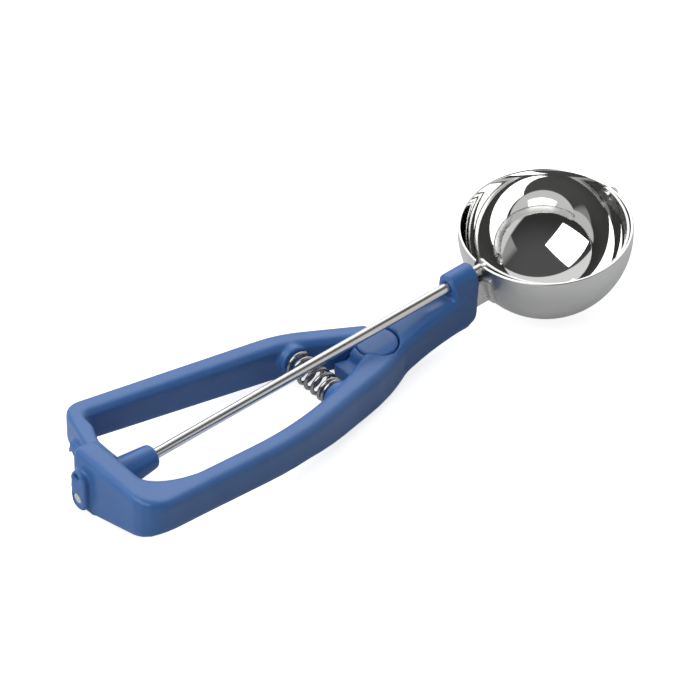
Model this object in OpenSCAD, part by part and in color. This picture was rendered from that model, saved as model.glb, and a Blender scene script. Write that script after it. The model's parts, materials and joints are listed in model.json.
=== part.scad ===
// Lever ice cream scoop. A round steel bowl is carried by a moulded frame with one grip.
// Squeezing the lever slides its rack over a pinion on the tail of the rod, and the rod
// turns the scraper blade round the inside of the bowl. A coil spring opens the lever again.
//
// Each piece is drawn in tool axes: X along the rod towards the bowl, Y to the lever's side,
// Z square to the rim, zero at the centre of the rim. rest() then tips the whole tool back
// until it stands on the bowl and on the pad under the tail, with its box centred on X and Y.

/* [Bowl] */
// Outside diameter of the bowl
bowl_d = 57; // [52:1:62]
// Thickness of the bowl's sheet
bowl_wall = 1; // [0.8:0.1:1.3]
// Depth of the rod's axis below the rim; the round part of the bowl is centred on it
rod_depth = 2.2; // [2.1:0.1:3]

/* [Scraper] */
// Diameter of the rod
rod_d = 3.5; // [3:0.1:4]
// Width of the scraper blade
blade_w = 6; // [5:0.5:8]
// Thickness of the scraper blade
blade_t = 0.8; // [0.6:0.1:1.2]
// Gap between the blade and the inside of the bowl
blade_gap = 0.35; // [0.25:0.05:0.6]
// Angle from level at which the blade rests below the rim, at either end of its sweep
blade_rest = 5; // [4:0.5:10]
// Diameter of the rivet at the blade's outer end
rivet_d = 2.4; // [2:0.1:3]
// Diameter of the rod's spigot in the blade
spigot_d = 2.6; // [2:0.1:2.8]

/* [Head and neck] */
// Gap between the bowl and the front of the head
head_gap = 3.2; // [2:0.2:6]
// Length of the head along the rod
head_len = 10; // [9:0.2:16]
// Radius of the head round the rod
head_r = 4.4; // [3.8:0.1:5]
// Half the width of the head's lower part
head_half_w = 5.6; // [4.8:0.1:7]
// Length of the neck, from the head to the lever's pivot
neck_len = 29.3; // [25:0.1:35]
// Thickness of the shank's sheet
shank_t = 1.2; // [0.8:0.1:1.6]
// Width over the shank's two cheeks
shank_w = 7.6; // [6:0.2:8]
// Height of the shank's cheeks
shank_h = 9; // [7:0.5:10]
// Length of the shank inside the head
tang_len = 8; // [6:0.5:9]
// Width of the saddle that carries the bowl
saddle_w = 10.6; // [9.6:0.2:13]

/* [Pivot] */
// Depth of the hub's top below the rod's axis
hub_drop = 6.1; // [5.5:0.1:8]
// Height of the hub
hub_h = 13.5; // [12.5:0.1:13.8]
// Radius of the frame's hub
hub_r = 9.5; // [9.2:0.1:10.5]
// Radius of the lever's disc, which turns in the frame's pocket
disc_r = 6.9; // [6:0.1:8]
// Height of the lever's disc
disc_h = 6.2; // [5:0.1:7]
// Diameter of the pivot pin
pivot_d = 5; // [4:0.1:6]
// Diameter of the pivot pin's head
pivot_head_d = 9; // [7.5:0.1:11]

/* [Arms] */
// Width of both arms
arm_w = 8.2; // [7:0.1:9.5]
// Height of both arms at the grips
arm_h = 13.1; // [11:0.1:14]
// Rounding of the arms' long edges
arm_round = 2.8; // [1.5:0.1:3.4]
// Extra height of both arms in front of the spring
root_swell = 1.6; // [0:0.1:1.8]
// Extra width of the frame's grip at the hub, on its outer side
root_flare = 3.2; // [0:0.1:3.4]
// Slope of the frame's grip to the rod
grip_slope = 11; // [9:0.2:13]
// Heading of the frame's grip where it leaves the hub, from the rod
grip_root_angle = 28.8; // [27:0.2:31]
// Heading of the frame's grip where it runs to the tail, from the rod
grip_run_angle = 5.5; // [5:0.1:6.5]
// Radius of the bend in the frame's grip
grip_bend_r = 159; // [145:1:170]
// Heading of the lever where it leaves the hub, from the rod
lever_root_angle = 21.6; // [20.4:0.2:23]
// Heading of the lever where it runs to the tail, from the rod
lever_run_angle = 3.4; // [3:0.1:4]
// Radius of the bend in the lever
lever_bend_r = 48.5; // [42:0.5:54]

/* [Gear] */
// Distance from the pivot to the middle of the rack
rack_r = 112; // [106:0.5:118]
// Width of the rack, along the rod
rack_w = 5.3; // [4.5:0.1:6]
// Module of the teeth
gear_module = 0.75; // [0.72:0.01:0.78]
// Number of teeth on the pinion
pinion_teeth = 9; // [9:1:9]
// Total play between meshing teeth
backlash = 0.24; // [0.2:0.02:0.3]
// Running gap round the rack and the pinion
gear_gap = 0.3; // [0.25:0.05:0.4]
// Gap between the rack and the roof
roof_gap = 0.45; // [0.4:0.05:0.6]

/* [Tail] */
// Thickness of the roof over the rack
roof_t = 1.1; // [0.9:0.1:1.6]
// Thickness of the wall behind the rack
rear_wall = 5.6; // [4:0.1:7]
// Distance from the rod's axis to the mouth of the rack's channel
mouth_y = 5.2; // [5:0.1:5.6]
// Thickness of the floor under the pinion
floor_t = 1.4; // [1.2:0.1:2]
// Rounding of the mouth's edge
mouth_round = 2; // [1:0.1:2.5]
// Outer radius of the tail's corner
tail_round = 9; // [6:0.5:12]
// Width of the fillet inside the tail's corner, across the grip
tail_fillet = 7.2; // [5:0.2:9]
// Length of that fillet, along the grip
fillet_reach = 18; // [10:1:22]
// Rise of the rear wall's bottom for each millimetre away from the pad
tail_rise = 0.29; // [0.2:0.01:0.35]
// Outer radius of the lever's corner
lever_round = 8; // [6:0.5:9]
// Fillet inside the lever's corner
lever_fillet = 2.5; // [1:0.5:4]
// Extra width of the rack's bar at the lever, on its front
bar_wedge = 4; // [2:0.1:4.5]
// Lean of the bar's rear face at the lever, towards the front
bar_lean = 2.1; // [0:0.1:2.6]
// Rounding of the bar's top edges
bar_round = 1.2; // [0.5:0.1:1.6]
// Length of the boss that carries the rod in front of the pinion
boss_len = 17; // [12:0.5:22]
// Width of the lug on the tail
lug_w = 7.2; // [6.6:0.1:8]
// Thickness of the lug on the tail
lug_t = 2.5; // [2:0.1:4]
// Height of the lug's blind hole above the rod's axis
lug_hole_rise = 9.2; // [8.6:0.1:9.6]
// Diameter of the lug's blind hole
lug_hole_d = 2.6; // [2:0.1:3.2]
// Depth of the lug's blind hole
lug_hole_depth = 4; // [2:0.5:6]

/* [Spring] */
// Distance from the pivot to the spring's axis
spring_back = 25.5; // [23:0.5:29]
// Depth of the spring's axis below the rod's axis
spring_drop = 6.9; // [6.9:0.1:7.4]
// Outside diameter of the spring
spring_d = 9.6; // [8:0.1:10]
// Diameter of the spring's wire
wire_d = 1.4; // [1:0.1:1.5]
// Number of turns
spring_turns = 7; // [5:0.5:8]
// Distance from the rod's axis to the spring's end on the frame
spring_near = 9.4; // [8.6:0.1:9.6]
// Distance from the rod's axis to the spring's end on the lever
spring_far = 10.4; // [9.6:0.1:11]

/* [Fits] */
// Radial clearance of the rod and the pins in their bearings
run_gap = 0.06; // [0.03:0.01:0.09]
// Gap between moulded faces that slide past each other
slide_gap = 0.3; // [0.25:0.05:0.4]
// Gap left between sheet pieces that are welded together
weld_gap = 0.02; // [0.01:0.01:0.04]

/* [Hidden] */
$fn = 64;
plastic_blue = [0.23, 0.39, 0.62];
steel = [0.78, 0.79, 0.80];

// How far a cutting shape runs past what it cuts
past = 1;

bowl_r = bowl_d / 2;
bowl_inner_r = bowl_r - bowl_wall;
rod_r = rod_d / 2;
rod_z = -rod_depth;

// Stations along the rod
head_front = -bowl_r - head_gap;
head_rear = head_front - head_len;
pivot_x = head_rear - neck_len;

// Levels
hub_top = rod_z - hub_drop;
hub_bottom = hub_top - hub_h;
disc_bottom = hub_top - disc_h;
pivot_seat = hub_bottom + 2;
head_bottom = hub_bottom + 1.9;
neck_top = rod_z - rod_r - 1.25;

// Gear: the rack's reference line lies outside the pinion's pitch circle by the shift, which
// keeps so few teeth strong at the root
pressure_angle = 20;
shift = 0.4;
pitch_r = gear_module * pinion_teeth / 2;
tip_r = pitch_r + gear_module * (1 + shift);
root_r = pitch_r - gear_module * (1.25 - shift);
tooth_pitch = PI * gear_module;
rack_ref_z = rod_z + pitch_r + shift * gear_module;
rack_tip_z = rack_ref_z - gear_module;
rack_root_z = rack_ref_z + 1.25 * gear_module;
rack_in_r = rack_r - rack_w / 2;
rack_out_r = rack_r + rack_w / 2;
pocket_r = tip_r + gear_gap + 0.05;
shell_r = pocket_r + 1.1;

// Travel: the blade sweeps from one side of the bowl to the other
sweep = 180 - 2 * blade_rest;
stroke = sweep * PI / 180 * pitch_r;
lever_travel = stroke / rack_r * 180 / PI;
// Angle round the pivot of a distance along the rack
function rack_angle(s) = s / rack_r * 180 / PI;

// Teeth each side of the contact that stay in reach
reach_teeth = 1.5;
rack_first = -reach_teeth * tooth_pitch;
rack_count = ceil(stroke / tooth_pitch + 2 * reach_teeth) + 1;
rack_reach = (reach_teeth + 0.25) * tooth_pitch + 0.4;

// Tail
pinion_front = pivot_x - rack_in_r - 0.2;
pinion_rear = pivot_x - rack_out_r + 0.1;
pocket_front = pinion_front + gear_gap;
pocket_rear = pinion_rear - gear_gap;
channel_rear_r = rack_out_r + gear_gap;
channel_floor = rack_tip_z - gear_gap;
tail_rear = pivot_x - channel_rear_r - rear_wall;
tail_front = pocket_front + 0.3;
roof_front = tail_front - 1.3;
tail_mid = (tail_rear + tail_front) / 2;
pad_z = rod_z - pocket_r - floor_t;
pad_half_w = 5;
lug_rear = tail_rear - lug_t;
lug_hole_z = rod_z + lug_hole_rise;

// The lever's top lies lower than the frame's over the rack, by the roof and its gap
tail_drop = roof_t + roof_gap;
lever_slope = atan(tan(grip_slope) - tail_drop / rack_r);

// Rest: the pitch at which the bowl and the tail's pad both touch the ground
pad_dz = pad_z + rod_depth;
rest_pitch = asin(bowl_r / norm([tail_mid, pad_dz])) - atan2(-pad_dz, -tail_mid);
floor_drop = bowl_r + rod_depth * cos(rest_pitch);

// Route of an arm's middle line, seen from above with the pivot at zero
function ahead(p, heading, dist) = p + dist * [cos(heading), sin(heading)];
function left_of(heading) = [-sin(heading), cos(heading)];
function bend_centre(p, heading, r, turn) = p + sign(turn) * r * left_of(heading);
function bend_end(p, heading, r, turn) =
    bend_centre(p, heading, r, turn) - sign(turn) * r * left_of(heading + turn);

grip_start = [3, -0.8];
grip_root_len = 13;
grip_heading = 180 + grip_root_angle;
grip_turn = grip_run_angle - grip_root_angle;
grip_bend_start = ahead(grip_start, grip_heading, grip_root_len);
grip_run_start = bend_end(grip_bend_start, grip_heading, grip_bend_r, grip_turn);
grip_run_len = (roof_front + fillet_reach - pivot_x - grip_run_start.x) / -cos(grip_run_angle);
grip_end = ahead(grip_run_start, 180 + grip_run_angle, grip_run_len);

lever_start = [2.6, 6.1];
lever_root_len = 22.4;
lever_heading = 180 - lever_root_angle;
lever_turn = lever_root_angle - lever_run_angle;
lever_bend_start = ahead(lever_start, lever_heading, lever_root_len);
lever_run_start = bend_end(lever_bend_start, lever_heading, lever_bend_r, lever_turn);
lever_run_len = (bar_wedge + lever_fillet - rack_in_r - lever_run_start.x) / -cos(lever_run_angle);
lever_end = ahead(lever_run_start, 180 - lever_run_angle, lever_run_len);

// Share of the arms' extra height at a station behind the pivot
function swell_share(x) = sin(180 * min(max((2 - x) / 52, 0), 1));
function arm_depth(x) = arm_h + root_swell * swell_share(x);
// Extra width of the grip's outer side at a station behind the pivot
function flare(x) = root_flare * pow(cos(90 * min(max(-x / 31, 0), 1)), 2);

// Point a given way along a straight, the round corner after it and the straight that follows
function corner_way(way, start, heading, straight, r, turn) =
    let (arc = r * abs(turn) * PI / 180, arc_start = ahead(start, heading, straight))
    way < straight ? ahead(start, heading, way)
    : way < straight + arc ? bend_end(arc_start, heading, r, turn * (way - straight) / arc)
    : ahead(bend_end(arc_start, heading, r, turn), heading + turn, way - straight - arc);

// Length of the straight before a round corner that leads to the line through end
function corner_straight(start, heading, end, end_heading, r) =
    let (way = [cos(heading), sin(heading)], end_way = [cos(end_heading), sin(end_heading)])
    cross(end - start, end_way) / cross(way, end_way) - r * tan(abs(end_heading - heading) / 2);

// Outside of the tail: along the grip, round the corner and up the rear wall
tail_x = tail_rear - pivot_x;
tail_heading = 180 + grip_run_angle;
tail_side = grip_end + arm_w / 2 * left_of(tail_heading);
tail_straight = corner_straight(tail_side, tail_heading, [tail_x, 0], 90, tail_round);
function tail_outline(way) =
    corner_way(way, tail_side, tail_heading, tail_straight, tail_round, 90 - tail_heading);
fillet_start = grip_end - arm_w / 2 * left_of(tail_heading);
fillet_end_y = fillet_start.y + tail_fillet;
tail_corner_len = tail_straight + tail_round * (tail_heading - 90) * PI / 180;
outline_len = tail_corner_len + fillet_end_y - tail_outline(tail_corner_len).y;
grip_outer_y = tail_outline(tail_straight + tail_round / 8).y;

// Outside of the lever's corner: along the lever, round the corner and down the rack's bar
bar_heading = 180 - lever_run_angle;
bar_side = lever_end - arm_w / 2 * left_of(bar_heading);
bar_start = lever_end + arm_w / 2 * left_of(bar_heading);
wedge_y = bar_start.y - lever_fillet;
// The bar's rear face lies on the rack's arc over the pinion and leans forward away from it
function bar_rear(y) =
    bar_lean * max(y - mouth_y, 0) / (wedge_y - mouth_y) - sqrt(pow(rack_out_r - 0.05, 2) - pow(y, 2));
bar_rear_top = [bar_rear(wedge_y), wedge_y];
bar_end_heading = 180 + atan2(wedge_y - mouth_y, bar_rear_top.x - bar_rear(mouth_y));
bar_straight = corner_straight(bar_side, bar_heading, bar_rear_top, bar_end_heading, lever_round);
function bar_outline(way) =
    corner_way(way, bar_side, bar_heading, bar_straight, lever_round, bar_end_heading - bar_heading);
bar_corner_len = bar_straight + lever_round * (bar_end_heading - bar_heading) * PI / 180;
bar_outline_len = bar_corner_len + norm(bar_outline(bar_corner_len) - bar_rear_top);

// Box of the standing tool
rivet_end = bowl_r + 1.9;
box_front = rivet_end * cos(rest_pitch) + rod_depth * sin(rest_pitch);
box_back = lug_rear * cos(rest_pitch) - lug_hole_z * sin(rest_pitch);
box_mid_x = (box_front + box_back) / 2;
box_mid_y = (bowl_r + grip_outer_y) / 2;

// Stands the tool on the ground
module rest()
    translate([-box_mid_x, -box_mid_y, floor_drop])
        rotate([0, -rest_pitch, 0])
            children();

// Solid from x0 to x1 along the rod with the given outline, drawn with X as Y and Y as Z
module along_rod(x0, x1)
    translate([x0, 0, 0])
        rotate([90, 0, 90])
            linear_extrude(x1 - x0)
                children();

// Round bar on the rod's axis, or at a rise above it
module rod_bar(x0, x1, r, rise = 0)
    translate([x0, 0, rod_z + rise])
        rotate([0, 90, 0])
            cylinder(h = x1 - x0, r = r);

// Plane of an arm: its top face at zero, sloping up from the hub to the tail
module arm_plane(slope)
    translate([pivot_x, 0, hub_top])
        rotate([0, slope, 0])
            children();

// Everything below an arm's top plane
module below_plane(slope)
    arm_plane(slope)
        translate([-2 * rack_r, -rack_r / 2, -rack_r / 2])
            cube([3 * rack_r, rack_r, rack_r / 2]);

// Ring of a moulding between two points seen from above, from z0 to z1 at the pivot
function ring(left, right, z0, z1, slope = 0, round = arm_round) =
    let (
        across = (left - right) / norm(left - right),
        half_w = norm(left - right) / 2,
        half_h = (z1 - z0) / 2,
        r = min(round, 0.9 * half_w, 0.9 * half_h))
    [for (corner = [0:3], bit = [0:4])
        let (
            turn = 90 * corner + 22.5 * bit,
            u = (corner == 0 || corner == 3 ? half_w - r : r - half_w) + r * cos(turn),
            v = (corner < 2 ? half_h - r : r - half_h) + r * sin(turn),
            p = (left + right) / 2 + u * across)
        [p.x, p.y, (z0 + z1) / 2 + v - p.x * tan(slope)]];

// Skin over a row of rings
module loft(rings) {
    sides = len(rings[0]);
    last = len(rings) - 1;
    faces = concat(
        [[for (k = [0:sides - 1]) k]],
        [for (i = [0:last - 1], k = [0:sides - 1])
            [i * sides + k, (i + 1) * sides + k, (i + 1) * sides + (k + 1) % sides,
                i * sides + (k + 1) % sides]],
        [[for (k = [sides - 1:-1:0]) last * sides + k]]);
    polyhedron([for (points = rings) each points], faces);
}

// Stations of an arm: two straights with a bend between them
function arm_path(start, heading, root_len, r, turn, run_len) =
    let (
        root_steps = 4,
        bend_steps = 10,
        bend_start = ahead(start, heading, root_len),
        run_start = bend_end(bend_start, heading, r, turn))
    concat(
        [for (i = [0:root_steps - 1]) [ahead(start, heading, root_len * i / root_steps), heading]],
        [for (i = [0:bend_steps])
            [bend_end(bend_start, heading, r, turn * i / bend_steps), heading + turn * i / bend_steps]],
        [[ahead(run_start, heading + turn, run_len), heading + turn]]);

// Upright post with rounded ends, for hulls
module post(x, y, z0, z1, r)
    for (z = [z0 + r, z1 - r])
        translate([x, y, z])
            sphere(r, $fn = 32);

// ---- Frame ----

// Neck from inside the head to the pivot, widening into the hub
module neck() {
    steps = 10;
    rings = [for (i = [-1:steps])
        let (
            share = max(i, 0) / steps,
            x = i < 0 ? neck_len + head_len / 2 : neck_len * (1 - share),
            half_w = head_half_w + (hub_r - head_half_w) * pow(share, 2),
            bottom = hub_bottom + (head_bottom - hub_bottom) * (1 - share),
            top = hub_top + (neck_top - hub_top) * pow(1 - share, 1.3))
        ring([x, -half_w], [x, half_w], bottom, top)];
    translate([pivot_x, 0, 0])
        loft(rings);
}

module head() {
    corner_r = 4.3;
    hull() {
        rod_bar(head_rear, head_front, head_r, $fn = 48);
        for (y = [-1, 1]) {
            post(head_rear + 3, y * (head_half_w - 3), head_bottom, neck_top - 2, 3);
            translate([head_front - corner_r, y * (head_half_w - corner_r), head_bottom + corner_r])
                sphere(corner_r, $fn = 32);
        }
    }
}

// Hub round the pivot, its outer edges rounded
module hub() {
    edge = 3;
    translate([pivot_x, 0, hub_bottom])
        rotate_extrude() {
            square([hub_r - edge, hub_h]);
            translate([0, edge])
                square([hub_r, hub_h - 2 * edge]);
            for (z = [edge, hub_h - edge])
                translate([hub_r - edge, z])
                    circle(edge);
        }
}

// Web that closes the corner between the grip and the lever's root, behind the hub
module crotch_web() {
    reach = hub_r + 4.5;
    top_drop = 4.5;
    translate([pivot_x, 0, hub_bottom + 1])
        linear_extrude(hub_h - 1 - top_drop)
            polygon([
                [0, 0],
                [0, -hub_r / 2],
                [-reach, -0.45 * reach],
                [-reach, 0.38 * reach],
                [-hub_r / 2, 0.3 * hub_r]
            ]);
}

// Grip from the hub to the tail, round the corner and up to the mouth of the rack's channel
module grip() {
    corner_steps = 14;
    arm_rings = [for (station = arm_path(grip_start, grip_heading, grip_root_len, grip_bend_r, grip_turn,
            grip_run_len))
        let (p = station[0], side = left_of(station[1]))
        ring(p + (arm_w / 2 + flare(p.x)) * side, p - arm_w / 2 * side, -arm_depth(p.x), 0, grip_slope)];
    corner_rings = [for (i = [1:corner_steps])
        let (
            outer = tail_outline(outline_len * i / corner_steps),
            turn = 90 * i / corner_steps,
            inner = [fillet_start.x - fillet_reach * sin(turn), fillet_end_y - tail_fillet * cos(turn)],
            left = -pad_half_w - fillet_end_y + outline_len * (1 - i / corner_steps))
        ring(outer, inner, tail_bottom(outer.x, left), 0, grip_slope)];
    wall_rings = [for (y = [-pad_half_w, mouth_y - mouth_round]) wall_ring(y, 0)];
    mouth_rings = [for (a = [30:30:90])
        wall_ring(mouth_y - mouth_round * (1 - sin(a)), mouth_round * (1 - cos(a)))];
    translate([pivot_x, 0, hub_top])
        loft(concat(arm_rings, corner_rings, wall_rings, mouth_rings));
}

// Depth of the tail's bottom below the grip's top plane, a given way along the outline from the pad
function tail_bottom(x, way) = min(-arm_h, pad_z + tail_rise * way - hub_top + x * tan(grip_slope));

// Ring of the wall behind the rack
function wall_ring(y, inset) =
    ring([tail_x + inset, y], [roof_front - pivot_x - inset, y], tail_bottom(tail_x, 0) + inset, -inset,
        grip_slope);

// Round housing of the pinion, its front closed by the boss round the rod
module pinion_shell() {
    intersection() {
        rod_bar(tail_rear, tail_front, shell_r);
        translate([tail_rear, -shell_r, rod_z - shell_r])
            cube([tail_front - tail_rear, 2 * shell_r, channel_floor - rod_z + shell_r]);
    }
    along_rod(tail_rear, tail_front)
        polygon([
            [-pad_half_w, rod_z - shell_r - 3],
            [pad_half_w, rod_z - shell_r - 3],
            [pad_half_w, rod_z - shell_r / 2],
            [-pad_half_w, rod_z - shell_r / 2]
        ]);
    boss();
}

// Boss round the rod, tapering towards the bowl, with a rounded nose
module boss() {
    boss_base_r = shell_r - 0.1;
    boss_nose_r = shell_r - 1.7;
    nose_round = 1.4;
    translate([tail_front, 0, rod_z])
        rotate([0, 90, 0])
            rotate_extrude() {
                polygon([
                    [0, 0],
                    [boss_base_r, 0],
                    [boss_nose_r, boss_len - nose_round],
                    [boss_nose_r - nose_round, boss_len],
                    [0, boss_len]
                ]);
                translate([boss_nose_r - nose_round, boss_len - nose_round])
                    circle(nose_round);
            }
}

// Lug behind the rod's bearing, a little off its axis, with a blind hole higher up
module lug() {
    low = rod_z - 0.4;
    high = lug_hole_z - 1.2;
    along_rod(lug_rear, tail_rear + past)
        translate([-0.8, 0]) {
            for (z = [low, high])
                translate([0, z])
                    circle(d = lug_w);
            translate([-lug_w / 2, low])
                square([lug_w, high - low]);
        }
}

// Space for the rack and its travel, open at the mouth and towards the rod
module rack_channel() {
    far_end = rack_angle(stroke + rack_reach + 0.8);
    intersection() {
        translate([pivot_x, 0, channel_floor])
            rotate([0, 0, 180 + far_end])
                rotate_extrude(angle = -far_end - 12)
                    translate([rack_in_r - 8, 0])
                        square([channel_rear_r - rack_in_r + 8, rack_r / 4]);
        translate([0, 0, -roof_t])
            below_plane(grip_slope);
    }
}

module pinion_pocket()
    rod_bar(pocket_rear, pocket_front, pocket_r);

// Space for the lever's disc and the root of its arm, over the whole travel
module pivot_pocket() {
    far = 2 * hub_r;
    translate([pivot_x, 0, disc_bottom - slide_gap])
        linear_extrude(hub_h + arm_h) {
            circle(disc_r + slide_gap);
            polygon([
                [0, 0],
                [lever_start.x + slide_gap, 0],
                [lever_start.x + slide_gap, far],
                [-2 * far, far],
                [-2 * far, 0.68 * far],
                [-disc_r, 0.16 * far]
            ]);
        }
}

// Round bar along Y on the spring's axis
module spring_bar(y0, y1, r)
    translate([pivot_x - spring_back, y1, rod_z - spring_drop])
        rotate([90, 0, 0])
            cylinder(h = y1 - y0, r = r);

// Seat for the spring's end at y, with a peg inside the spring; side is 1 on the lever
module spring_seat(y, side) {
    seat_depth = 5;
    peg_len = 3;
    seat_r = spring_d / 2 + 0.2;
    peg_r = spring_d / 2 - wire_d - 0.5;
    spring_bar(side > 0 ? y : y - seat_depth, side > 0 ? y + seat_depth : y, seat_r);
    spring_bar(side > 0 ? y - peg_len : y - 1, side > 0 ? y + 1 : y + peg_len, peg_r);
}

module frame_handle()
    color(plastic_blue)
        rest()
            difference() {
                intersection() {
                    union() {
                        difference() {
                            union() {
                                neck();
                                head();
                                hub();
                                crotch_web();
                                grip();
                            }
                            pivot_pocket();
                            rack_channel();
                            spring_bar(-spring_near, 0, spring_d / 2 + slide_gap);
                            rod_bar(pivot_x - past, head_rear, head_r - 0.1);
                        }
                        spring_seat(-spring_near, -1);
                        pinion_shell();
                        lug();
                    }
                    above_ground();
                }
                rod_bar(head_rear - past, head_front + past, rod_r + run_gap);
                rod_bar(lug_rear - past, tail_front + boss_len + past, rod_r + run_gap);
                rod_bar(lug_rear - past, lug_rear + lug_hole_depth, lug_hole_d / 2, lug_hole_rise);
                pinion_pocket();
                pivot_bore();
                shank_tang();
            }

// Everything above the ground that the tool stands on
module above_ground()
    rotate([0, rest_pitch, 0])
        translate([-2 * rack_r, -rack_r, -floor_drop])
            cube([3 * rack_r, 2 * rack_r, rack_r]);

module pivot_bore()
    translate([pivot_x, 0, hub_bottom - past]) {
        cylinder(h = hub_h, d = pivot_d + 2 * run_gap);
        cylinder(h = pivot_seat - hub_bottom + past, d = pivot_head_d + 2 * slide_gap);
    }

// ---- Lever ----

// Lever's arm, its corner and the widened top of the rack's bar
module lever_arm() {
    corner_steps = 8;
    bar_steps = 6;
    bar_end_y = -rack_reach;
    // Lowest level in front of the bar, clear of the boss
    clear_z = rod_z + shell_r + slide_gap + 0.1 - hub_top;
    function clear_depth(x) = clear_z + x * tan(lever_slope);
    arm_rings = [for (station = arm_path(ahead(lever_start, lever_heading, -3), lever_heading,
            lever_root_len + 3, lever_bend_r, lever_turn, lever_run_len))
        let (p = station[0], side = left_of(station[1]))
        ring(p + arm_w / 2 * side, p - arm_w / 2 * side, -arm_depth(p.x), 0, lever_slope)];
    corner_rings = [for (i = [1:corner_steps])
        let (
            share = i / corner_steps,
            outer = bar_outline(bar_outline_len * share),
            inner = bar_start - lever_fillet * [sin(90 * share), 1 - cos(90 * share)],
            depth = i < corner_steps ? -arm_h : clear_depth(inner.x))
        ring(inner, outer, depth, 0, lever_slope, arm_round + (bar_round - arm_round) * share)];
    bar_rings = [for (i = [1:bar_steps])
        let (
            share = i / bar_steps,
            y = wedge_y + (bar_end_y - wedge_y) * share,
            inner_x = -sqrt(pow(rack_in_r, 2) - pow(y, 2)) + bar_wedge * max(1 - 2 * share, 0),
            depth = clear_depth(inner_x))
        ring([inner_x, y], [bar_rear(y), y], depth, 0, lever_slope, bar_round)];
    translate([pivot_x, 0, hub_top])
        loft(concat(arm_rings, corner_rings, bar_rings));
}

// Strip under the bar that carries the teeth, bent round the pivot
module rack_bar() {
    strip_h = rod_z + shell_r + 2.4 - rack_root_z;
    root_angle = rack_angle(wedge_y);
    end_angle = rack_angle(rack_reach);
    translate([pivot_x, 0, 0])
        rotate([0, 0, 180 + end_angle])
            rotate_extrude(angle = -root_angle - end_angle)
                translate([rack_in_r, rack_root_z])
                    square([rack_w, strip_h]);
}

module rack_teeth() {
    half_ref = tooth_pitch / 4 - backlash / 4;
    half_tip = half_ref - gear_module * tan(pressure_angle);
    half_root = half_ref + (rack_root_z - rack_ref_z) * tan(pressure_angle);
    for (k = [0:rack_count - 1])
        translate([pivot_x, 0, 0])
            rotate([0, 0, -rack_angle(rack_first + k * tooth_pitch)])
                along_rod(-rack_out_r + 0.1, -rack_in_r - 0.1)
                    polygon([
                        [-half_tip, rack_tip_z],
                        [half_tip, rack_tip_z],
                        [half_root, rack_root_z],
                        [half_root, rack_root_z + 0.2],
                        [-half_root, rack_root_z + 0.2],
                        [-half_root, rack_root_z]
                    ]);
}

module lever_handle()
    color(plastic_blue)
        rest()
            difference() {
                union() {
                    difference() {
                        lever_arm();
                        translate([pivot_x, 0, disc_bottom - hub_h])
                            cylinder(h = hub_h, r = hub_r + slide_gap);
                        translate([pivot_x + lever_start.x, -hub_r, hub_bottom - hub_h])
                            cube([hub_r, 3 * hub_r, 3 * hub_h]);
                        spring_bar(0, spring_far, spring_d / 2 + slide_gap);
                    }
                    translate([pivot_x, 0, disc_bottom])
                        cylinder(h = disc_h, r = disc_r);
                    rack_bar();
                    rack_teeth();
                    spring_seat(spring_far, 1);
                }
                translate([pivot_x, 0, disc_bottom - past])
                    cylinder(h = disc_h - 1.6 + past, d = pivot_d);
            }

// Headed pin, pressed into the lever and turning in the frame
module pivot_pin()
    color(steel)
        rest()
            translate([pivot_x, 0, hub_bottom + 0.3]) {
                cylinder(h = pivot_seat - hub_bottom - 0.4, d = pivot_head_d);
                cylinder(h = disc_bottom + disc_h - 1.8 - hub_bottom - 0.3, d = pivot_d);
            }

// ---- Spring ----

// Height of the wire's middle, as a share of the turns; the end turns lie closed
function spring_rise(share) =
    let (closed = 1 / spring_turns)
    share < closed ? 0.4 * share
    : share > 1 - closed ? 1 - 0.4 * (1 - share)
    : 0.4 * closed + (share - closed) * (1 - 0.8 * closed) / (1 - 2 * closed);

module spring() {
    coil_r = (spring_d - wire_d) / 2;
    coil_h = spring_near + spring_far - wire_d - 0.1;
    steps = ceil(20 * spring_turns);
    sides = 10;
    path = [for (i = [0:steps])
        let (a = 360 * spring_turns * i / steps)
        [coil_r * cos(a), coil_r * sin(a), coil_h * spring_rise(i / steps)]];
    function outwards(i) = let (a = 360 * spring_turns * i / steps) [cos(a), sin(a), 0];
    function along(i) =
        let (d = path[min(i + 1, steps)] - path[max(i - 1, 0)])
        d / norm(d);
    function wire_ring(i) =
        let (u = outwards(i), v = cross(along(i), u))
        [for (k = [0:sides - 1])
            path[i] + wire_d / 2 * (u * cos(360 * k / sides) + v * sin(360 * k / sides))];
    color(steel)
        rest()
            translate([pivot_x - spring_back, spring_far - 0.05 - wire_d / 2, rod_z - spring_drop])
                rotate([90, 0, 0])
                    loft([for (i = [0:steps]) wire_ring(i)]);
}

// ---- Scraper ----

blade_outer_r = bowl_inner_r - blade_gap;
blade_inner_r = blade_outer_r - blade_t;

module rod() {
    shoulder = -blade_outer_r - 0.05;
    rivet_x = -blade_inner_r + 0.1;
    color(steel)
        rest() {
            rod_bar(lug_rear + 0.5, shoulder, rod_r);
            rod_bar(shoulder - past, rivet_x + 0.5, spigot_d / 2);
            rod_bar(rivet_x, rivet_x + 0.8, spigot_d / 2 + 0.6);
        }
}

// Half outline of one pinion tooth's flank at radius r, as an angle from the tooth's middle
base_r = pitch_r * cos(pressure_angle);
function inv(a) = tan(a) * 180 / PI - a;
function flank_angle(r) =
    let (half = (tooth_pitch / 2 + 2 * shift * gear_module * tan(pressure_angle) - backlash / 2) / 2)
    half / pitch_r * 180 / PI + inv(pressure_angle) - (r > base_r ? inv(acos(base_r / r)) : 0);

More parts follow.
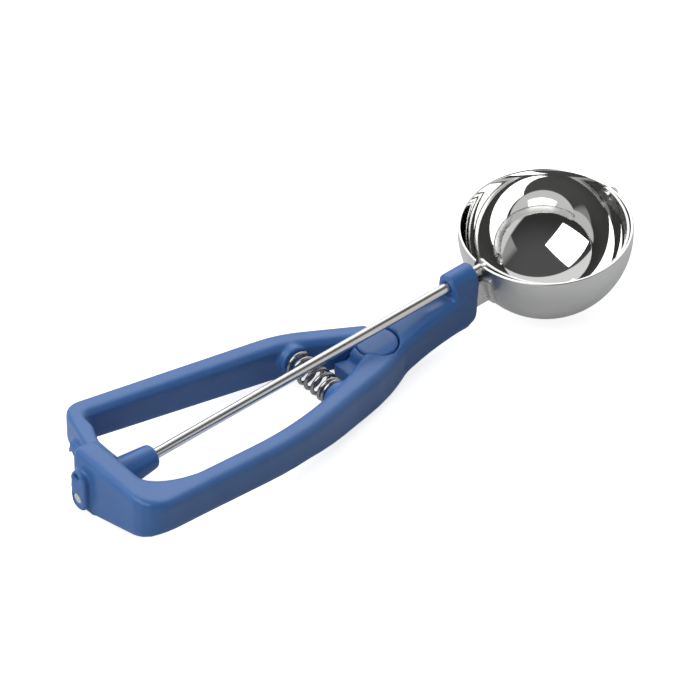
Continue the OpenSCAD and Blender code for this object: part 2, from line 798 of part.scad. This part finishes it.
module pinion() {
    flank_steps = 5;
    radii = concat([root_r - 0.2, root_r],
        [for (i = [0:flank_steps]) max(base_r, root_r) + (tip_r - max(base_r, root_r)) * i / flank_steps]);
    tooth = concat(
        [for (r = radii) r * [-sin(flank_angle(r)), cos(flank_angle(r))]],
        [for (i = [len(radii) - 1:-1:0]) radii[i] * [sin(flank_angle(radii[i])), cos(flank_angle(radii[i]))]]);
    color(plastic_blue)
        rest()
            difference() {
                union() {
                    translate([0, 0, rod_z])
                        for (k = [0:pinion_teeth - 1])
                            rotate([k * 360 / pinion_teeth, 0, 0])
                                along_rod(pinion_rear, pinion_front)
                                    polygon(tooth);
                    rod_bar(pinion_rear, pinion_front, root_r);
                }
                rod_bar(pinion_rear - past, pinion_front + past, rod_r);
            }
}

// Strip bent round the inside of the bowl, with a round tab at each end
module scraper_blade()
    color(steel)
        rest()
            translate([0, 0, rod_z])
                difference() {
                    intersection() {
                        difference() {
                            sphere(blade_outer_r);
                            sphere(blade_inner_r);
                        }
                        rotate([blade_rest, 0, 0]) {
                            translate([-bowl_r, -bowl_r, -blade_w / 2])
                                cube([bowl_d, bowl_r, blade_w]);
                            rotate([0, 90, 0])
                                cylinder(h = bowl_d, d = blade_w, center = true);
                        }
                    }
                    rotate([0, -90, 0])
                        cylinder(h = bowl_r, d = spigot_d);
                    rotate([0, 90, 0])
                        cylinder(h = bowl_r, d = rivet_d);
                }

// Rivet through the blade's outer tab, turning in the bowl, with a domed outer head
module tip_rivet() {
    inner_head = blade_inner_r - 0.9;
    outer_head = bowl_r + slide_gap;
    dome_h = rivet_end - outer_head;
    dome_r = 2.2;
    color(steel)
        rest()
            translate([0, 0, rod_z])
                rotate([0, 90, 0])
                    rotate_extrude() {
                        translate([0, inner_head])
                            square([rivet_d / 2 + 0.7, 0.8]);
                        translate([0, inner_head])
                            square([rivet_d / 2, outer_head + 0.2 - inner_head]);
                        intersection() {
                            translate([0, rivet_end - dome_r])
                                circle(dome_r);
                            translate([0, outer_head])
                                square([dome_r, dome_h]);
                        }
                    }
}

// ---- Bowl ----

module bowl()
    color(steel)
        rest()
            difference() {
                union() {
                    translate([0, 0, rod_z])
                        sphere(bowl_r);
                    translate([0, 0, rod_z])
                        cylinder(h = rod_depth, r = bowl_r);
                }
                translate([0, 0, rod_z])
                    sphere(bowl_inner_r);
                translate([0, 0, rod_z])
                    cylinder(h = bowl_r, r = bowl_inner_r);
                translate([-bowl_d, -bowl_d, 0])
                    cube([2 * bowl_d, 2 * bowl_d, bowl_d]);
                rod_notch();
                rod_bar(bowl_inner_r - past, bowl_r + past, rivet_d / 2 + run_gap);
            }

// Slot in the rim that the rod passes through
module rod_notch() {
    notch_r = rod_r + slide_gap;
    rod_bar(-bowl_r - past, -bowl_inner_r + past, notch_r);
    translate([-bowl_r - past, -notch_r, rod_z])
        cube([bowl_wall + 2 * past, 2 * notch_r, bowl_r]);
}

// ---- Shank ----

shank_top = rod_z - rod_r - 0.7;

// Folded channel section of the shank, open at the top
module shank_section()
    difference() {
        translate([-shank_w / 2, shank_top - shank_h])
            square([shank_w, shank_h]);
        translate([-shank_w / 2 + shank_t, shank_top - shank_h + shank_t])
            square([shank_w - 2 * shank_t, shank_h]);
    }

// Part of the shank that is moulded into the head
module shank_tang()
    along_rod(head_front - tang_len, head_front + past)
        shank_section();

module bowl_shank() {
    color(steel)
        rest()
            difference() {
                union() {
                    along_rod(head_front - tang_len, 0)
                        shank_section();
                    intersection() {
                        translate([0, 0, rod_z])
                            sphere(bowl_r + shank_t);
                        translate([-bowl_d, -saddle_w / 2, shank_top - shank_h - 1])
                            cube([bowl_d, saddle_w, shank_h + 1]);
                    }
                }
                translate([0, 0, rod_z])
                    sphere(bowl_r + weld_gap);
            }
}

frame_handle();
lever_handle();
pivot_pin();
spring();
rod();
pinion();
scraper_blade();
tip_rivet();
bowl();
bowl_shank();
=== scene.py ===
import json
import math

import bpy
from mathutils import Matrix, Vector


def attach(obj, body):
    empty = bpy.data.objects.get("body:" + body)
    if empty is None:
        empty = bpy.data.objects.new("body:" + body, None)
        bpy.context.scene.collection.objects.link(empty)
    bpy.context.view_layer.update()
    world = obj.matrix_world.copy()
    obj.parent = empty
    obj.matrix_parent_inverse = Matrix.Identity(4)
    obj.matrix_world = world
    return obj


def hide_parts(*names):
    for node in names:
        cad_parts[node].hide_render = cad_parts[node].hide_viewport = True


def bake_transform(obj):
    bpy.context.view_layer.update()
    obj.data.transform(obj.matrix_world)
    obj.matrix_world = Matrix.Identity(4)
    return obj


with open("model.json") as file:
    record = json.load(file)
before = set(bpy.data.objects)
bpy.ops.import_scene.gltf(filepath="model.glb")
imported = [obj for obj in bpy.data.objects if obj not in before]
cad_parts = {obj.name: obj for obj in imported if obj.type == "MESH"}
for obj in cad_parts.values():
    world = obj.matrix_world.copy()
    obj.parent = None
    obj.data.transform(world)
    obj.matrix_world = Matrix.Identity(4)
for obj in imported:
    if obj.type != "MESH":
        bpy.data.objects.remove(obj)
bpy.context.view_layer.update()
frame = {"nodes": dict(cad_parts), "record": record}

MM = 0.001
nodes = frame["nodes"]
joints = {j["name"]: j for j in frame["record"]["behaviour"]["joints"]}

# ---- Sizes of the CAD source, in millimetres, along the tool's own axes: X along the rod,
# Y across, Z up from the rim's plane, all from the rim's centre ----

ROD_DEPTH = 2.2
BOWL_R = 28.5
BOWL_WALL = 1.0
NOTCH_R = 2.05
RIVET_HOLE_R = 1.26
PIVOT_X = -71.0
SPRING_X = PIVOT_X - 25.5
SPRING_Z = -ROD_DEPTH - 6.9
SPRING_NEAR = -9.4
SPRING_FAR = 10.4
SPRING_TURNS = 7.0
SPRING_R = 4.1
WIRE_R = 0.7

rod_joint = joints["scraper_turn"]
tool_x = Vector(rod_joint["axis"]).normalized()
tool_y = Vector((0.0, 1.0, 0.0))
tool_z = tool_x.cross(tool_y).normalized()
bowl_centre = Vector(rod_joint["pos_m"])
tool_origin = bowl_centre + tool_z * (ROD_DEPTH * MM)
TOOL = Matrix((
    (tool_x.x, tool_y.x, tool_z.x, tool_origin.x),
    (tool_x.y, tool_y.y, tool_z.y, tool_origin.y),
    (tool_x.z, tool_y.z, tool_z.z, tool_origin.z),
    (0, 0, 0, 1),
))


def at(x, y, z):
    """A point given in the tool's axes, in millimetres, as a point of the row frame."""
    return TOOL @ Vector((x * MM, y * MM, z * MM))


# ---- Node trees ----

def feed(tree, node, inputs):
    """Gives each input of a node its value, or links it to the output given instead."""
    for key, value in inputs.items():
        if isinstance(value, bpy.types.NodeSocket):
            tree.links.new(value, node.inputs[key])
        else:
            node.inputs[key].default_value = value


def add_node(tree, kind, inputs, **settings):
    node = tree.nodes.new("ShaderNode" + kind)
    for key, value in settings.items():
        setattr(node, key, value)
    feed(tree, node, inputs)
    return node


def add_math(tree, operation, *values):
    node = add_node(tree, "Math", dict(enumerate(values)), operation=operation)
    return node.outputs["Value"]


def add_range(tree, source, ends, **settings):
    node = add_node(tree, "MapRange", {"Value": source, **ends}, **settings)
    return node.outputs["Result"]


def add_noise(tree, scale, detail, stretch=(1, 1, 1)):
    coord = add_node(tree, "TexCoord", {})
    mapping = add_node(tree, "Mapping", {"Vector": coord.outputs["Object"], "Scale": stretch})
    noise = add_node(tree, "TexNoise", {
        "Vector": mapping.outputs["Vector"], "Scale": scale, "Detail": detail,
    })
    return noise.outputs["Fac"]


def add_ramp(tree, source, low, high, colours):
    """Goes from the first colour at the source value low to the second at high."""
    ramp = add_node(tree, "ValToRGB", {"Fac": source})
    for stop, position, colour in zip(ramp.color_ramp.elements, (low, high), colours):
        stop.position = position
        stop.color = (*colour, 1)
    return ramp.outputs["Color"]


def add_bump(tree, height, depth, strength):
    """A bump as deep as this, in millimetres, at strength 1."""
    bump = add_node(tree, "Bump", {"Height": height, "Distance": depth * MM, "Strength": strength})
    return bump.outputs["Normal"]


# ---- Materials ----

BLUE_LOW = (0.034, 0.126, 0.360)
BLUE_HIGH = (0.042, 0.144, 0.395)
IVORY_LOW = (0.70, 0.69, 0.64)
IVORY_HIGH = (0.76, 0.75, 0.70)
MIRROR_STEEL = (0.80, 0.80, 0.79)
SATIN_STEEL = (0.62, 0.62, 0.615)
MIRROR_ROUGHNESS = 0.04
# The radii inside the bowl's wall between which the mirror turns into satin.
MIRROR_R = 27.8
SATIN_R = 28.1


def new_material(name):
    mat = bpy.data.materials.new(name)
    mat.use_nodes = True
    return mat, mat.node_tree, mat.node_tree.nodes["Principled BSDF"]


def plastic(name, low, high, roughness):
    """Moulded plastic: a little mottle in the colour and a fine grain."""
    mat, tree, shader = new_material(name)
    mottle = add_noise(tree, scale=90, detail=4)
    grain = add_noise(tree, scale=2600, detail=2)
    feed(tree, shader, {
        "Base Color": add_ramp(tree, mottle, 0.3, 0.7, (low, high)),
        "Normal": add_bump(tree, grain, depth=0.02, strength=0.35),
        "Roughness": roughness,
        "Specular IOR Level": 0.5,
    })
    return mat


def steel(name, low, high, roughness, stretch=(1, 1, 1), scale=400, depth=0.004):
    """Steel with faint lines from drawing or brushing, along an axis with a small stretch."""
    mat, tree, shader = new_material(name)
    smooth, rough = roughness
    lines = add_noise(tree, scale, detail=4, stretch=stretch)
    feed(tree, shader, {
        "Base Color": add_ramp(tree, lines, 0.25, 0.75, (low, high)),
        "Roughness": add_range(tree, lines, {"To Min": smooth, "To Max": rough}),
        "Normal": add_bump(tree, lines, depth, strength=0.3),
        "Metallic": 1.0,
    })
    return mat


def bowl_steel(name):
    """Sheet steel that is a mirror inside the bowl and satin outside."""
    mat, tree, shader = new_material(name)
    coord = add_node(tree, "TexCoord", {})
    radius = add_node(
        tree, "VectorMath", {0: coord.outputs["Object"], 1: bowl_centre}, operation="DISTANCE")
    side = add_range(tree, radius.outputs["Value"], {
        "From Min": MIRROR_R * MM, "From Max": SATIN_R * MM,
    })
    brush = add_noise(tree, scale=260, detail=4, stretch=(1, 1, 9))
    satin = add_range(tree, brush, {"To Min": 0.24, "To Max": 0.36})
    rough = add_node(tree, "Mix", {0: side, 2: MIRROR_ROUGHNESS, 3: satin}, data_type="FLOAT")
    feed(tree, shader, {
        "Base Color": add_ramp(tree, side, 0.0, 1.0, (MIRROR_STEEL, SATIN_STEEL)),
        "Roughness": rough.outputs[0],
        "Metallic": 1.0,
    })
    return mat


handle_plastic = plastic("handle_plastic", BLUE_LOW, BLUE_HIGH, roughness=0.37)
gear_plastic = plastic("gear_plastic", IVORY_LOW, IVORY_HIGH, roughness=0.42)
bright_steel = steel(
    "bright_steel", (0.70, 0.69, 0.67), (0.78, 0.77, 0.75), roughness=(0.16, 0.26),
    stretch=(0.05, 1, 1), scale=900)
spring_steel = steel(
    "spring_steel", (0.33, 0.325, 0.315), (0.45, 0.44, 0.43), roughness=(0.16, 0.28))
sheet_steel = steel(
    "sheet_steel", (0.62, 0.62, 0.61), (0.72, 0.72, 0.71), roughness=(0.2, 0.34),
    stretch=(0.1, 1, 1), depth=0.001)
dish_steel = bowl_steel("bowl_steel")

FINISHES = {
    "frame_handle": handle_plastic,
    "lever_handle": handle_plastic,
    "pivot_pin": bright_steel,
    "rod": bright_steel,
    "pinion": gear_plastic,
    "scraper_blade": sheet_steel,
    "tip_rivet": bright_steel,
    "bowl": dish_steel,
    "bowl_shank": sheet_steel,
    "spring": spring_steel,
}
for name, mat in FINISHES.items():
    for slot in nodes[name].material_slots:
        slot.link = "OBJECT"
        slot.material = mat

# ---- Shapes: helpers ----

# A weld this wide, in millimetres, drops the faces too thin to see that meshing and cutting
# leave behind.
SLIVER = 0.002


def add_weld(obj, reach):
    """Joins an object's points that are closer than this, in millimetres."""
    weld = obj.modifiers.new("weld", "WELD")
    weld.merge_threshold = reach * MM


def settle(raw, name, mat):
    """Bakes an object's modifiers into a new smooth mesh object of one material."""
    bpy.context.view_layer.update()
    evaluated = raw.evaluated_get(bpy.context.evaluated_depsgraph_get())
    mesh = bpy.data.meshes.new_from_object(evaluated)
    mesh.name = name
    mesh.shade_smooth()
    mesh.materials.clear()
    mesh.materials.append(mat)
    piece = bpy.data.objects.new(name, mesh)
    bpy.data.objects.remove(raw)
    bpy.context.collection.objects.link(piece)
    return piece


def solid(name, verts, faces):
    mesh = bpy.data.meshes.new(name)
    mesh.from_pydata(verts, [], faces)
    mesh.update()
    obj = bpy.data.objects.new(name, mesh)
    bpy.context.collection.objects.link(obj)
    return obj


def turned(name, profile, sides):
    """A solid turned round the bowl's upright axis; the profile starts and ends on the axis."""
    verts, faces, rings = [], [], []
    for r, z in profile:
        first = len(verts)
        if r < 1e-6:
            verts.append(at(0, 0, z))
        else:
            for j in range(sides):
                a = 2 * math.pi * (j + 0.5) / sides
                verts.append(at(r * math.cos(a), r * math.sin(a), z))
        rings.append(range(first, len(verts)))
    for low, high in zip(rings, rings[1:]):
        for j in range(sides):
            k = (j + 1) % sides
            if len(low) == 1:
                faces.append((low[0], high[k], high[j]))
            elif len(high) == 1:
                faces.append((low[j], low[k], high[0]))
            else:
                faces.append((low[j], low[k], high[k], high[j]))
    return solid(name, verts, faces)


def prism(name, outline, x0, x1):
    """A closed bar along the rod; its section is (y, z) pairs, anticlockwise from the bowl."""
    count = len(outline)
    verts = [at(x, y, z) for x in (x0, x1) for y, z in outline]
    faces = [tuple(reversed(range(count))), tuple(range(count, 2 * count))]
    faces += [(j, (j + 1) % count, count + (j + 1) % count, count + j) for j in range(count)]
    return solid(name, verts, faces)


def angles(start, sweep, steps):
    """The angles of an arc given in degrees, in radians."""
    return [math.radians(start + sweep * i / steps) for i in range(steps + 1)]


def arc_round_rod(radius, start, sweep, steps):
    """Points of an arc round the rod's axis, as (y, z) pairs."""
    return [
        (radius * math.cos(a), radius * math.sin(a) - ROD_DEPTH)
        for a in angles(start, sweep, steps)
    ]


# ---- Mouldings: the same solids with the softened edges that moulded plastic has ----

MESHING_GAP = 0.005  # the widest between faces of a CAD mesh that should meet
SKIN_GRAIN = 0.42
EASE_ROUNDS = 16


def moulding(name, node, body):
    """A copy of a node, rebuilt as an even skin and eased at its edges."""
    raw = bpy.data.objects.new(name + "_raw", nodes[node].data.copy())
    bpy.context.collection.objects.link(raw)
    add_weld(raw, MESHING_GAP)
    skin = raw.modifiers.new("skin", "REMESH")
    skin.mode = "VOXEL"
    skin.voxel_size = SKIN_GRAIN * MM
    ease = raw.modifiers.new("ease", "SMOOTH")
    ease.factor = 0.5
    ease.iterations = EASE_ROUNDS
    piece = settle(raw, name, handle_plastic)
    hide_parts(node)
    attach(piece, body)


moulding("frame_moulding", "frame_handle", "frame")
moulding("lever_moulding", "lever_handle", "lever")

# These two show their CAD shapes, whose meshes have slivers.
for name in ("pinion", "tip_rivet"):
    add_weld(nodes[name], SLIVER)

# ---- Bowl: the same sheet, turned finely enough to mirror the room without facets ----

LIP_R = 0.35
BOWL_SIDES = 240
DOME_STEPS = 72
LIP_STEPS = 8
SHARP_FROM = math.radians(40)


def sheet_profile():
    """The sheet's section as (radius, height) pairs, from the outer pole to the inner one."""
    outer, inner = BOWL_R, BOWL_R - BOWL_WALL
    points = [
        (outer * math.sin(a), -ROD_DEPTH - outer * math.cos(a))
        for a in angles(0, 90, DOME_STEPS)
    ]
    for centre, start in ((outer - LIP_R, 0), (inner + LIP_R, 90)):
        points += [
            (centre + LIP_R * math.cos(a), -LIP_R + LIP_R * math.sin(a))
            for a in angles(start, 90, LIP_STEPS)
        ]
    points += [
        (inner * math.sin(a), -ROD_DEPTH - inner * math.cos(a))
        for a in angles(90, -90, DOME_STEPS)
    ]
    return points


# The rod passes the rim in a notch that is open at the top; the tip rivet sits in a round hole.
ABOVE_RIM = 2.0
notch_outline = arc_round_rod(NOTCH_R, 180, 180, 24)
notch_outline += [(NOTCH_R, ABOVE_RIM), (-NOTCH_R, ABOVE_RIM)]
hole_outline = arc_round_rod(RIVET_HOLE_R, 0, 345, 23)
bowl_raw = turned("bowl_raw", sheet_profile(), BOWL_SIDES)
cutters = (
    prism("notch", notch_outline, -BOWL_R - 1, -BOWL_R + 2),
    prism("rivet_hole", hole_outline, BOWL_R - 2, BOWL_R + 1),
)
for cutter in cutters:
    cut = bowl_raw.modifiers.new("cut", "BOOLEAN")
    cut.operation = "DIFFERENCE"
    cut.object = cutter
add_weld(bowl_raw, SLIVER)
bowl_sheet = settle(bowl_raw, "bowl_sheet", dish_steel)
for cutter in cutters:
    bpy.data.objects.remove(cutter)
bowl_sheet.data.set_sharp_from_angle(angle=SHARP_FROM)
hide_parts("bowl")
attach(bowl_sheet, "frame")

# ---- Spring: a smooth coil with closed ends, set between the two arms ----

STEPS_PER_TURN = 48
WIRE_SEGMENTS = 5
SEAT_GAP = 0.05
END_PITCH = 0.42  # of the first and last turn, as a share of an even one
FIRST_ANGLE = 0.6


def coil(name, turns):
    """A wire coil along Y whose first and last turn lie closer, as on a closed end."""
    low = SPRING_NEAR + WIRE_R + SEAT_GAP
    high = SPRING_FAR - WIRE_R - SEAT_GAP
    steps = int(turns * STEPS_PER_TURN)
    end_turn = 1.0 / turns
    end_rise = END_PITCH * end_turn

    def rise(t):
        if t < end_turn:
            return end_rise * t / end_turn
        if t > 1 - end_turn:
            return 1 - end_rise * (1 - t) / end_turn
        return end_rise + (t - end_turn) * (1 - 2 * end_rise) / (1 - 2 * end_turn)

    curve = bpy.data.curves.new(name, "CURVE")
    curve.dimensions = "3D"
    curve.bevel_depth = WIRE_R * MM
    curve.bevel_resolution = WIRE_SEGMENTS
    curve.use_fill_caps = True
    spline = curve.splines.new("POLY")
    spline.points.add(steps)
    for i in range(steps + 1):
        t = i / steps
        a = 2 * math.pi * turns * t + FIRST_ANGLE
        p = at(SPRING_X + SPRING_R * math.cos(a), low + (high - low) * rise(t),
               SPRING_Z + SPRING_R * math.sin(a))
        spline.points[i].co = (*p, 1)
    tube = bpy.data.objects.new(name + "_tube", curve)
    bpy.context.collection.objects.link(tube)
    return settle(tube, name, spring_steel)


spring_wire = coil("spring_wire", SPRING_TURNS)
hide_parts("spring")
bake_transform(spring_wire)

# ---- Camera: the photograph's viewpoint, solved in the tool's axes, with the rim's centre at
# the pixel AIM_U, AIM_V of a square picture ----

TURN, TILT, ROLL = math.radians(39.021), math.radians(42.603), math.radians(-1.006)
DISTANCE = 3231.964
FOCAL_PX = 10000.0
AIM_U, AIM_V = 545.686, 225.919
PICTURE_PX = 700.0
SENSOR = 36.0
right = Vector((math.cos(TURN), -math.sin(TURN), 0))
away = Vector((math.sin(TURN), math.cos(TURN), 0))
up = Vector((0, 0, 1))
look = away * math.cos(TILT) - up * math.sin(TILT)
lift = away * math.sin(TILT) + up * math.cos(TILT)
cam_x = right * math.cos(ROLL) + lift * math.sin(ROLL)
cam_y = lift * math.cos(ROLL) - right * math.sin(ROLL)
off_x = (AIM_U - PICTURE_PX / 2) / FOCAL_PX * DISTANCE
off_y = -(AIM_V - PICTURE_PX / 2) / FOCAL_PX * DISTANCE
eye = cam_x * -off_x + cam_y * -off_y + look * -DISTANCE
cam_axes = Matrix((
    (cam_x.x, cam_y.x, -look.x, 0),
    (cam_x.y, cam_y.y, -look.y, 0),
    (cam_x.z, cam_y.z, -look.z, 0),
    (0, 0, 0, 1),
))
cam_data = bpy.data.cameras.new("camera")
cam_data.sensor_width = SENSOR
cam_data.lens = SENSOR * FOCAL_PX / PICTURE_PX
cam_data.clip_start = 0.1
cam_data.clip_end = 50.0
camera = bpy.data.objects.new("camera", cam_data)
bpy.context.collection.objects.link(camera)
camera.matrix_world = Matrix.Translation(at(*eye)) @ TOOL.to_3x3().to_4x4() @ cam_axes
bpy.context.scene.camera = camera

# ---- Floor: grey for the light on the tool, white for the camera ----

FLOOR_SIZE = 8.0
FLOOR_DROP = 0.4
FLOOR_GREY = (0.64, 0.64, 0.64, 1)
FLOOR_GLOW = 0.8
FLOOR_GLOW_IN_STEEL = 0.1

bpy.ops.mesh.primitive_plane_add(size=FLOOR_SIZE, location=(0, 0, -FLOOR_DROP * MM))
floor = bpy.context.object
floor.name = "floor"
floor_mat, floor_tree, floor_shader = new_material("floor")
rays = add_node(floor_tree, "LightPath", {}).outputs
in_steel = add_math(floor_tree, "MULTIPLY", rays["Is Glossy Ray"], FLOOR_GLOW_IN_STEEL)
feed(floor_tree, floor_shader, {
    "Base Color": FLOOR_GREY,
    "Roughness": 0.9,
    "Specular IOR Level": 0.1,
    "Emission Color": (1, 1, 1, 1),
    "Emission Strength": add_math(
        floor_tree, "MULTIPLY_ADD", rays["Is Camera Ray"], FLOOR_GLOW, in_steel),
})
floor.data.materials.append(floor_mat)

# ---- Lamps ----

LAMP_AIM = Vector((0.03, 0.0, 0.02))


def softbox(name, azimuth, height, distance, size, power):
    """An area lamp at a compass angle and height angle, in degrees, that faces the tool."""
    az, el = math.radians(azimuth), math.radians(height)
    location = Vector((
        distance * math.cos(el) * math.cos(az),
        distance * math.cos(el) * math.sin(az),
        distance * math.sin(el),
    ))
    lamp_data = bpy.data.lights.new(name, "AREA")
    lamp_data.shape = "RECTANGLE"
    lamp_data.size, lamp_data.size_y = size
    lamp_data.energy = power
    lamp = bpy.data.objects.new(name, lamp_data)
    bpy.context.collection.objects.link(lamp)
    lamp.location = location
    lamp.rotation_euler = (LAMP_AIM - location).to_track_quat("-Z", "Y").to_euler()


softbox("key", azimuth=177, height=47, distance=1.3, size=(1.21, 1.03), power=12.5)
softbox("back", azimuth=60, height=40, distance=1.4, size=(1.4, 0.7), power=5.0)

# ---- Sky: the room that the steel mirrors, with a white wall on the far side, a grey screen
# and a white card at the right front, a faint ceiling, and dark behind the camera ----

WALL_NORMAL = (0.514, 0.829, -0.225)
SCREEN_NORMAL = (0.976, 0.174, -0.126)
SCREEN_END_NORMAL = (0.354, -0.773, -0.525)
CARD_NORMAL = (0.539, -0.374, -0.755)
UPWARDS = (0.0, 0.0, 1.0)
SCREEN_LEVEL = 0.42
CARD_LEVEL = 0.9
CEILING_LEVEL = 0.07
WALL_LIGHT = 0.95
DARK_LEVEL = 0.045
SKY_TINT = (0.95, 0.97, 1.0, 1)
WHITE = (1, 1, 1, 1)

world = bpy.data.worlds.new("studio")
bpy.context.scene.world = world
world.use_nodes = True
sky = world.node_tree
heading = add_node(sky, "TexCoord", {})


def panel(normal, low, high):
    """Weight that rises from 0 to 1 where a direction passes the plane with this normal."""
    dot = add_node(
        sky, "VectorMath", {0: heading.outputs["Generated"], 1: Vector(normal).normalized()},
        operation="DOT_PRODUCT")
    return add_range(
        sky, dot.outputs["Value"], {"From Min": low, "From Max": high},
        interpolation_type="SMOOTHSTEP")


def background(inputs):
    return add_node(sky, "Background", inputs).outputs["Background"]


def mix(weight, one, two):
    node = add_node(sky, "MixShader", {"Fac": weight, 1: one, 2: two})
    return node.outputs["Shader"]


far_wall = panel(WALL_NORMAL, -0.01, 0.02)
screen_face = panel(SCREEN_NORMAL, 0.0, 0.03)
screen_end = panel(SCREEN_END_NORMAL, 0.0, 0.25)
screen = add_math(sky, "MINIMUM", screen_face, screen_end)
side_screen = add_math(sky, "MULTIPLY", screen, SCREEN_LEVEL)
front_card = add_math(sky, "MULTIPLY", panel(CARD_NORMAL, 0.0, 0.05), CARD_LEVEL)
overhead = panel(UPWARDS, 0.3, 1.0)
ceiling = add_math(sky, "MULTIPLY_ADD", overhead, CEILING_LEVEL, DARK_LEVEL)
wall_or_screen = add_math(sky, "MAXIMUM", far_wall, side_screen)
card_or_ceiling = add_math(sky, "MAXIMUM", front_card, ceiling)
mirrored_room = add_math(sky, "MAXIMUM", wall_or_screen, card_or_ceiling)
wall_light = add_math(sky, "MULTIPLY_ADD", far_wall, WALL_LIGHT, DARK_LEVEL)

paths = add_node(sky, "LightPath", {}).outputs
lit = background({"Color": SKY_TINT, "Strength": wall_light})
room = background({"Strength": mirrored_room})
white = background({"Color": WHITE})
unseen = mix(paths["Is Glossy Ray"], lit, room)
seen_white = add_math(sky, "ADD", paths["Is Camera Ray"], paths["Is Transmission Ray"])
feed(sky, sky.nodes["World Output"], {"Surface": mix(seen_white, unseen, white)})

bpy.context.scene.view_settings.view_transform = "Standard"
